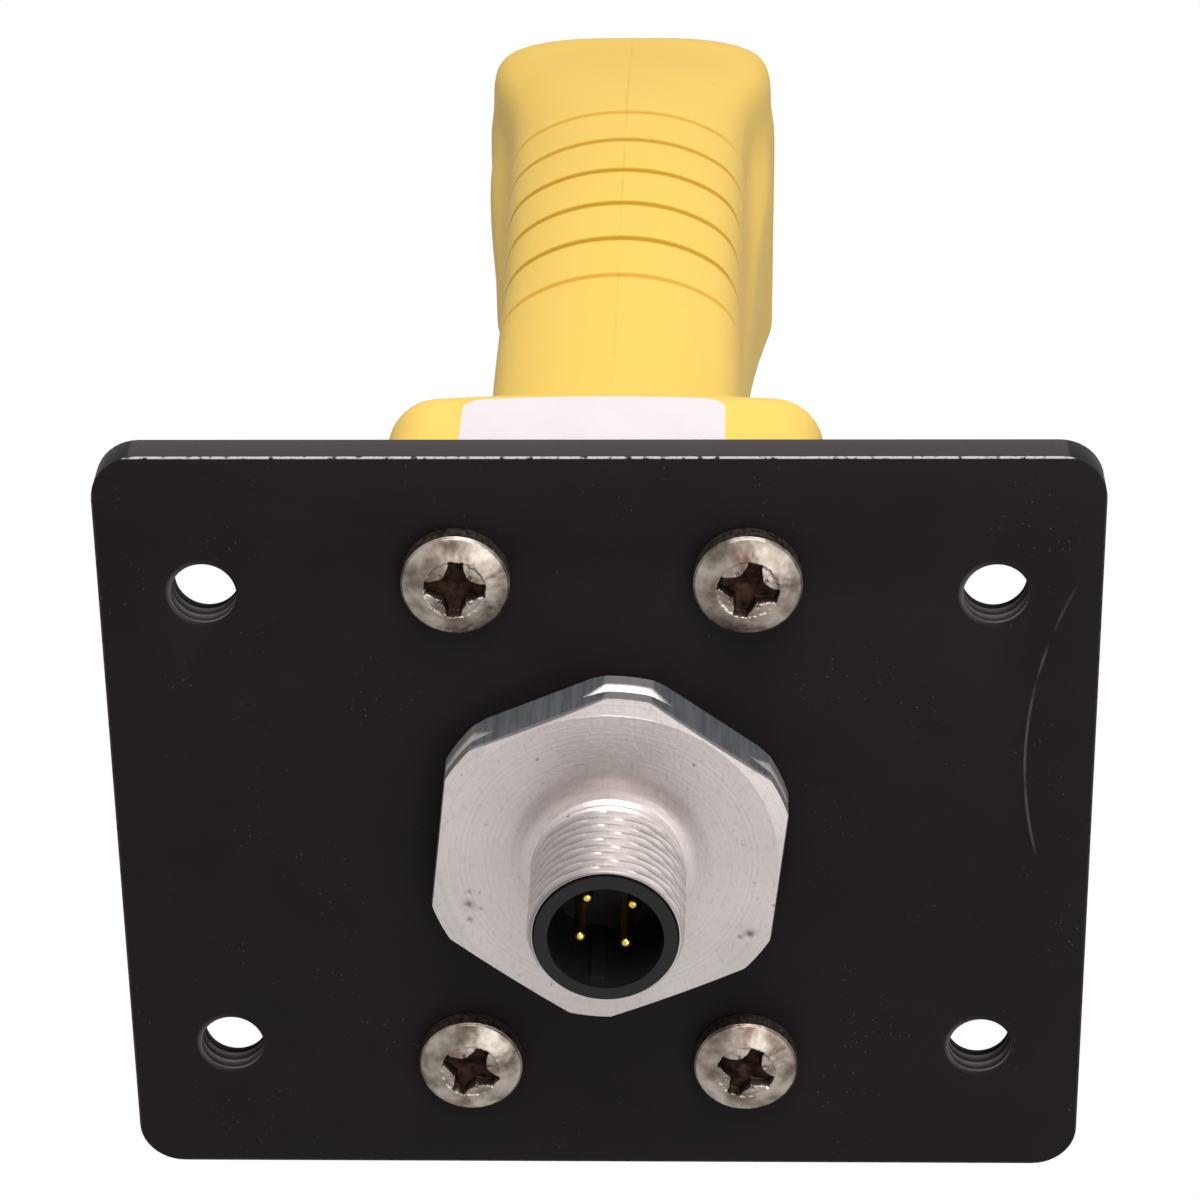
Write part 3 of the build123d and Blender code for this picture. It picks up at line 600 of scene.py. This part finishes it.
def screw_mesh(name, head_turn, seed):
    """Domed screw with a worn cross recess, about its own axis."""
    angles = directions(screw_spokes)
    rim_zone = screw_head_radius - recess_zone
    radii = [axis_gap + recess_zone * step / dome_rings for step in range(dome_rings + 1)]
    turns = [math.radians(90 * step / rim_rings) for step in range(1, rim_rings + 1)]
    radii += [recess_zone + rim_zone * math.sin(turn) for turn in turns]
    rings = []
    recess_values = []
    for radius in radii:
        ring = []
        for angle in angles:
            x = radius * math.cos(angle)
            y = radius * math.sin(angle)
            deep = recess_share(x, y, seed)
            tick = tick_share(x, y) * (1 - deep)
            floor = recess_depth - recess_floor_rise * radius
            burr_edge = burr_reach + burr_wander * noise.noise(Vector((x * 3, y * 3, seed)))
            burr = burr_depth * ease((burr_edge - radius) / burr_fade)
            wear = dome_wear * noise.noise(Vector((x * 2.3, y * 2.3, seed + 7.0))) + burr
            z = -screw_head_height_at(radius) + deep * floor + tick_depth * tick + wear * (1 - deep)
            ring.append((x, y, max(z, -screw_head_height)))
            # The recess takes the full painted shade and the ticks half of it
            recess_values.append(max(deep, 0.5 * tick))
        rings.append(ring)
    side_values = [0.0] * len(recess_values)
    side_shares = (0.85, 0.7, 0.55, 0.4, 0.25, 0.1)
    lower = [(screw_head_radius, 0.04 - screw_side_height, 1.0)]
    lower += [(screw_head_radius, -screw_side_height * share, 1.0) for share in side_shares]
    lower += [(screw_head_radius * 0.96, 0.0, 1.0), (screw_shank_radius, 0.0, 1.0)]
    lower += [(screw_shank_radius, screw_length, 0.0), (axis_gap, screw_length, 0.0)]
    for radius, z, side in lower:
        rough = knurl_depth if side and z < 0 else 0.0
        ring = []
        for angle in angles:
            spot = Vector((math.cos(angle) * 14, math.sin(angle) * 14, z * 5 + seed))
            reach = radius - abs(rough * noise.noise(spot))
            ring.append((reach * math.cos(angle), reach * math.sin(angle), z))
        rings.append(ring)
        recess_values += [0.0] * screw_spokes
        side_values += [side] * screw_spokes
    mesh = ring_mesh(name, rings)
    add_values(mesh, "recess", recess_values)
    add_values(mesh, "side", side_values)
    mesh.transform(Matrix.Rotation(math.radians(head_turn), 4, "Z"))
    mesh.flip_normals()
    smooth(mesh, angle=50.0)
    return mesh


def make_screws():
    """The four domed screws at the corners of their CAD group."""
    low, high = screw_box
    for (side_x, side_y), turn in screw_turns.items():
        x = high[0] - screw_head_radius * MM if side_x > 0 else low[0] + screw_head_radius * MM
        y = high[1] - screw_head_radius * MM if side_y > 0 else low[1] + screw_head_radius * MM
        name = f"base_screw_{'left' if side_x > 0 else 'right'}_{'back' if side_y > 0 else 'front'}"
        mesh = screw_mesh(name, turn, 3.0 * side_x + side_y)
        mesh.transform(Matrix.Translation((x, y, 0.0)))
        piece = add_piece(name, mesh, "stainless_steel")
        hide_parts("base_screws")


def hexagon_radius(angle):
    """Distance from the axis to the flats in a direction."""
    sector = math.radians(60)
    local = (angle - math.radians(hex_twist) + sector / 2) % sector - sector / 2
    return hex_across_flats / 2 / math.cos(local)


def pit_depth(x, y):
    """Depth of the pits in the hexagon's face at a point."""
    depth = 0.0
    for angle, radius, width, deep in face_pits:
        gap_x = x - radius * math.cos(math.radians(angle))
        gap_y = y - radius * math.sin(math.radians(angle))
        depth += deep * math.exp(-(gap_x * gap_x + gap_y * gap_y) / (width * width / 2))
    return depth


def make_contact_pins():
    """Four gilt pins with round tips in place of the plain ones."""
    low, high = (Vector(corner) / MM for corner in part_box("contact_pins"))
    cup_start = high[2] - cup_length
    cup_floor = high[2] - cup_depth
    tip_steps = 12
    outline = [(axis_gap, low[2])]
    for step in range(1, tip_steps + 1):
        turn = math.radians(90 * step / tip_steps)
        reach = axis_gap + (pin_radius - axis_gap) * math.sin(turn)
        outline.append((reach, low[2] + pin_radius * (1 - math.cos(turn))))
    outline += [(pin_radius, cup_start), (cup_radius, cup_start), (cup_radius, high[2])]
    outline += [(cup_bore, high[2]), (cup_bore, cup_floor), (axis_gap, cup_floor)]
    for index in range(4):
        angle = math.radians(45 + pin_twist + 90 * index)
        x = connector_axis[0] / MM + pin_circle_radius * math.cos(angle)
        y = connector_axis[1] / MM + pin_circle_radius * math.sin(angle)
        name = f"contact_pin_{index + 1}"
        mesh = ring_mesh(name, [circle(radius, z, pin_spokes, (x, y)) for radius, z in outline])
        mesh.flip_normals()
        smooth(mesh, angle=40.0)
        piece = add_piece(name, mesh, "gilt_contact")
        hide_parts("contact_pins")


def divided(bends, parts):
    """Points at even steps between the bends of an outline."""
    points = [bends[0]]
    for first, second in zip(bends, bends[1:]):
        for part in range(1, parts + 1):
            share = part / parts
            points.append(tuple(low + (high - low) * share for low, high in zip(first, second)))
    return points


class TurnedSkin:
    """Rings of a turned piece, with how much painted shade and dull finish each point takes as a thread root
    and as a flat; the root values also darken the pits.
    """

    def __init__(self, count):
        self.angles = directions(count)
        self.rings = []
        self.roots = []
        self.flats = []

    def add(self, points, roots=None, flats=None):
        """One more ring. Its values are 0 where none are given."""
        plain = [0.0] * len(self.angles)
        self.rings.append(points)
        self.roots += roots or plain
        self.flats += flats or plain

    def turned(self, outline):
        """Round rings through an outline of radii and heights."""
        for radius, z in outline:
            self.add(circle(radius, z, len(self.angles)))


def add_nose_thread(skin):
    """The thread from the tip of the nose to the undercut."""
    thread_length = nose_thread_start - (nose_tip + nose_chamfer)
    steps = int(thread_length / nose_thread_pitch * nose_thread_steps_per_turn)
    first_z = nose_tip + nose_chamfer * 0.3
    for step in range(steps + 1):
        z = first_z + (nose_thread_start - first_z) * step / steps
        run_in = ease((z - nose_tip) / nose_chamfer)
        run_out = ease((nose_thread_start - z) / nose_thread_run_out)
        crest = nose_radius - nose_chamfer * 0.7 * (1 - run_in)
        share = nose_thread_tip_share + (1 - nose_thread_tip_share) * run_in
        points = []
        roots = []
        for a in skin.angles:
            phase = 2 * math.pi * z / nose_thread_pitch + a
            groove = (0.5 - 0.5 * math.cos(phase)) ** nose_groove_power
            radius = crest - nose_thread_depth * groove * share * run_out
            points.append((radius * math.cos(a), radius * math.sin(a), z))
            # Painted shade for the thread: full in the roots, a share on the crests
            roots.append((crest_shade_share + (1 - crest_shade_share) * groove ** 2) * run_out)
        skin.add(points, roots=roots)


def add_face(skin):
    """The hexagon's face with its pits, and the low cone that rises to its corners."""
    for step in range(face_steps + 1):
        radius = face_inner_radius + (washer_face_radius - face_inner_radius) * step / face_steps
        dish_share = (face_dish_radius - radius) / (face_dish_radius - face_inner_radius)
        dish = face_dish_depth * ease(dish_share)
        points = []
        roots = []
        for a in skin.angles:
            x = radius * math.cos(a)
            y = radius * math.sin(a)
            pit = pit_depth(x, y)
            points.append((x, y, -hex_thickness + dish + pit))
            roots.append(min(1.0, pit * pit_dullness))
        skin.add(points, roots=roots)
    outer_radius = turned_outline[0][0]
    for share in (0.02, 0.35, 0.7, 1.0):
        points = []
        for a in skin.angles:
            rim = min(hexagon_radius(a) - face_rim_inset, outer_radius)
            radius = washer_face_radius + (rim - washer_face_radius) * share
            rise = corner_cone_rise * (radius - washer_face_radius) / (outer_radius - washer_face_radius)
            points.append((radius * math.cos(a), radius * math.sin(a), face_rim_step + rise - hex_thickness))
        skin.add(points)


def add_hexagon_sides(skin):
    """The six flats, with the turned outline where it cuts off their corners."""
    for limit, z, dull in divided(turned_outline, outline_parts):
        points = []
        flats = []
        for a in skin.angles:
            flat_radius = hexagon_radius(a)
            radius = min(flat_radius, limit)
            points.append((radius * math.cos(a), radius * math.sin(a), z))
            # The flats take the full painted shade and dull finish, and each turned band takes its listed
            # share
            flats.append(1.0 if flat_radius < limit else dull)
        skin.add(points, flats=flats)


def make_connector():
    """The metal body of the connector, from its bore over the nose and the hexagon to its shank."""
    skin = TurnedSkin(connector_spokes)
    chamfer_across, chamfer_along = nose_bore_chamfer
    groove_inner, groove_outer = seal_groove_radii
    skin.turned([
        (nose_bore_radius, insert_shoulder),
        (nose_bore_radius, nose_tip + chamfer_along),
        (nose_bore_radius + chamfer_across, nose_tip),
        (nose_radius - nose_chamfer, nose_tip),
    ])
    add_nose_thread(skin)
    skin.turned(nose_undercut)
    add_face(skin)
    add_hexagon_sides(skin)
    skin.turned([
        (groove_outer, 0.0),
        (groove_outer, -seal_groove_depth),
        (groove_inner, -seal_groove_depth),
        (groove_inner, 0.0),
        (shank_radius, 0.0),
        (shank_radius, shank_length),
        (shank_bore_radius, shank_length),
        (shank_bore_radius, insert_shoulder),
        (nose_bore_radius, insert_shoulder),
    ])
    mesh = ring_mesh("connector_body", skin.rings)
    add_values(mesh, "root", skin.roots)
    add_values(mesh, "flat", skin.flats)
    mesh.transform(Matrix.Translation((connector_axis[0], connector_axis[1], 0.0)))
    mesh.flip_normals()
    smooth(mesh, angle=34.0)
    piece = add_piece("connector_body", mesh, "nickel_plated_metal")
    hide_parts("connector_shell")


def welded_copy(node):
    """A copy of a CAD node's mesh with its split corners joined."""
    mesh = frame["nodes"][node].data.copy()
    edit = bmesh.new()
    edit.from_mesh(mesh)
    bmesh.ops.remove_doubles(edit, verts=edit.verts, dist=0.002 * MM)
    edit.to_mesh(mesh)
    edit.free()
    return mesh


def bevelled(piece, width, segments, angle):
    """Rounds the sharp edges of a piece."""
    bevel = piece.modifiers.new("edge_round", "BEVEL")
    bevel.width = width * MM
    bevel.segments = segments
    bevel.limit_method = "ANGLE"
    bevel.angle_limit = math.radians(angle)


def mount_thread(name, x, y):
    """Threaded lining of one mounting hole."""
    top = plate_thickness
    plain = [0.0] * mount_thread_spokes
    rings = [circle(mount_thread_root, 0.0, mount_thread_spokes, (x, y))]
    crests = list(plain)
    for step in range(mount_thread_steps + 1):
        z = top * step / mount_thread_steps
        run_out = ease(min(z, top - z) / mount_thread_run_out)
        ring = []
        for angle in directions(mount_thread_spokes):
            wave = 0.5 - 0.5 * math.cos(2 * math.pi * z / mount_thread_pitch + angle)
            depth = (mount_thread_root - mount_thread_crest) * wave ** mount_groove_power * run_out
            radius = mount_thread_crest + depth
            ring.append((x + radius * math.cos(angle), y + radius * math.sin(angle), z))
            crests.append((1 - wave) ** 3)
        rings.append(ring)
    rings.append(circle(mount_thread_root, top, mount_thread_spokes, (x, y)))
    crests += plain
    mesh = ring_mesh(name, rings)
    add_values(mesh, "crest", crests)
    mesh.flip_normals()
    smooth(mesh, angle=60.0)
    return mesh


def hole_cutter(x, y):
    """Round post that opens one mounting hole up to the roots of its thread."""
    edit = bmesh.new()
    bmesh.ops.create_cone(
        edit,
        cap_ends=True,
        segments=mount_thread_spokes,
        radius1=mount_thread_root * MM,
        radius2=mount_thread_root * MM,
        depth=plate_thickness * 3 * MM,
        matrix=Matrix.Translation(Vector((x, y, plate_thickness / 2)) * MM),
    )
    mesh = bpy.data.meshes.new("hole_cutter")
    edit.to_mesh(mesh)
    edit.free()
    cutter = bpy.data.objects.new("hole_cutter", mesh)
    bpy.context.collection.objects.link(cutter)
    return cutter


def make_plate():
    """The plate with rounded edges and a threaded lining in each corner hole."""
    plate = add_piece("plate_body", welded_copy("mounting_plate"), "plate_paint")
    cutters = []
    for index, (side_x, side_y) in enumerate(((-1, -1), (-1, 1), (1, -1), (1, 1))):
        x = side_x * mount_half_spacing[0]
        y = side_y * mount_half_spacing[1]
        cutter = hole_cutter(x, y)
        cutters.append(cutter)
        cut = plate.modifiers.new("hole", "BOOLEAN")
        cut.operation = "DIFFERENCE"
        cut.object = cutter
        name = f"mount_thread_{index + 1}"
        lining = add_piece(name, mount_thread(name, x, y), "plate_paint")
        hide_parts("mounting_plate")
    bevelled(plate, plate_edge_bevel, segments=3, angle=60.0)
    graph = bpy.context.evaluated_depsgraph_get()
    shaped = bpy.data.meshes.new_from_object(plate.evaluated_get(graph))
    plate.modifiers.clear()
    plate.data = shaped
    shaped.materials.clear()
    shaped.materials.append(materials["plate_paint"])
    smooth(shaped, angle=40.0)
    for cutter in cutters:
        bpy.data.objects.remove(cutter)
    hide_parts("mounting_plate")


def dress_cad_nodes():
    """Gives every CAD node that stays in view the finish of its slot."""
    slots = {part["node"]: part["material_slot"] for part in frame["record"]["subparts"]}
    for node, piece in frame["nodes"].items():
        piece.data.materials.clear()
        piece.data.materials.append(materials[slots[node]])


def make_camera():
    """Camera below the plate that looks up along the grip."""
    away = Vector(
        (
            math.sin(camera_azimuth) * math.cos(camera_elevation),
            math.sin(camera_elevation),
            -math.cos(camera_azimuth) * math.cos(camera_elevation),
        )
    )
    right = (-away).cross(Vector((0, 1, 0))).normalized()
    up = right.cross(-away)
    rolled_right = math.cos(camera_roll) * right + math.sin(camera_roll) * up
    rolled_up = math.cos(camera_roll) * up - math.sin(camera_roll) * right
    place = camera_target + camera_distance * away
    data = bpy.data.cameras.new("camera")
    data.lens = camera_lens
    data.sensor_width = sensor_width
    data.clip_start = 0.01
    camera = bpy.data.objects.new("camera", data)
    matrix = Matrix((rolled_right, rolled_up, away)).transposed().to_4x4()
    matrix.translation = place
    camera.matrix_world = matrix
    bpy.context.collection.objects.link(camera)
    bpy.context.scene.camera = camera


def add_light(name, place, target, size, power):
    """Soft square lamp that points at a target."""
    data = bpy.data.lights.new(name, "AREA")
    data.shape = "SQUARE"
    data.size = size
    data.energy = power
    lamp = bpy.data.objects.new(name, data)
    place = Vector(place)
    lamp.location = place
    lamp.rotation_euler = (Vector(target) - place).to_track_quat("-Z", "Y").to_euler()
    bpy.context.collection.objects.link(lamp)


def make_world():
    """White where it is seen directly, mirrored or through clear parts, and dim as a source of light."""
    world = bpy.data.worlds.new("studio")
    bpy.context.scene.world = world
    world.use_nodes = True
    nodes = world.node_tree.nodes
    links = world.node_tree.links
    nodes.clear()
    output = nodes.new("ShaderNodeOutputWorld")
    mix = nodes.new("ShaderNodeMixShader")
    dim = nodes.new("ShaderNodeBackground")
    white = nodes.new("ShaderNodeBackground")
    path = nodes.new("ShaderNodeLightPath")
    seen = nodes.new("ShaderNodeMath")
    seen.operation = "MAXIMUM"
    mirrored = nodes.new("ShaderNodeMath")
    mirrored.operation = "MAXIMUM"
    dim.inputs["Color"].default_value = (1, 1, 1, 1)
    dim.inputs["Strength"].default_value = ambient_strength
    white.inputs["Color"].default_value = (1, 1, 1, 1)
    white.inputs["Strength"].default_value = 1.0
    links.new(path.outputs["Is Camera Ray"], seen.inputs[0])
    links.new(path.outputs["Is Transmission Ray"], seen.inputs[1])
    links.new(seen.outputs[0], mirrored.inputs[0])
    links.new(path.outputs["Is Glossy Ray"], mirrored.inputs[1])
    links.new(mirrored.outputs[0], mix.inputs[0])
    links.new(dim.outputs[0], mix.inputs[1])
    links.new(white.outputs[0], mix.inputs[2])
    links.new(mix.outputs[0], output.inputs[0])


def make_floor():
    """Pale floor well below the part and below the camera. Metal mirrors it as white paper."""
    mesh = bpy.data.meshes.new("floor")
    signs = ((-1, -1), (1, -1), (1, 1), (-1, 1))
    corners = [(x * floor_reach, y * floor_reach, floor_height) for x, y in signs]
    mesh.from_pydata(corners, [], [(0, 1, 2, 3)])
    floor = bpy.data.objects.new("floor", mesh)
    bpy.context.collection.objects.link(floor)
    material = bpy.data.materials.new("floor_paper")
    material.use_nodes = True
    nodes = material.node_tree.nodes
    links = material.node_tree.links
    shader = nodes["Principled BSDF"]
    shader.inputs["Base Color"].default_value = (0.86, 0.86, 0.86, 1)
    shader.inputs["Roughness"].default_value = 0.9
    paper = nodes.new("ShaderNodeEmission")
    paper.inputs["Strength"].default_value = floor_mirrored_strength
    path = nodes.new("ShaderNodeLightPath")
    mix = nodes.new("ShaderNodeMixShader")
    links.new(path.outputs["Is Glossy Ray"], mix.inputs[0])
    links.new(shader.outputs[0], mix.inputs[1])
    links.new(paper.outputs[0], mix.inputs[2])
    links.new(mix.outputs[0], nodes["Material Output"].inputs["Surface"])
    mesh.materials.append(material)


materials = make_materials()
dress_cad_nodes()
make_plate()
make_screws()
make_connector()
make_contact_pins()
make_camera()
make_world()
make_floor()
bpy.context.scene.view_settings.view_transform = "Standard"
add_light("key", *key_lamp)
add_light("front", *front_lamp)
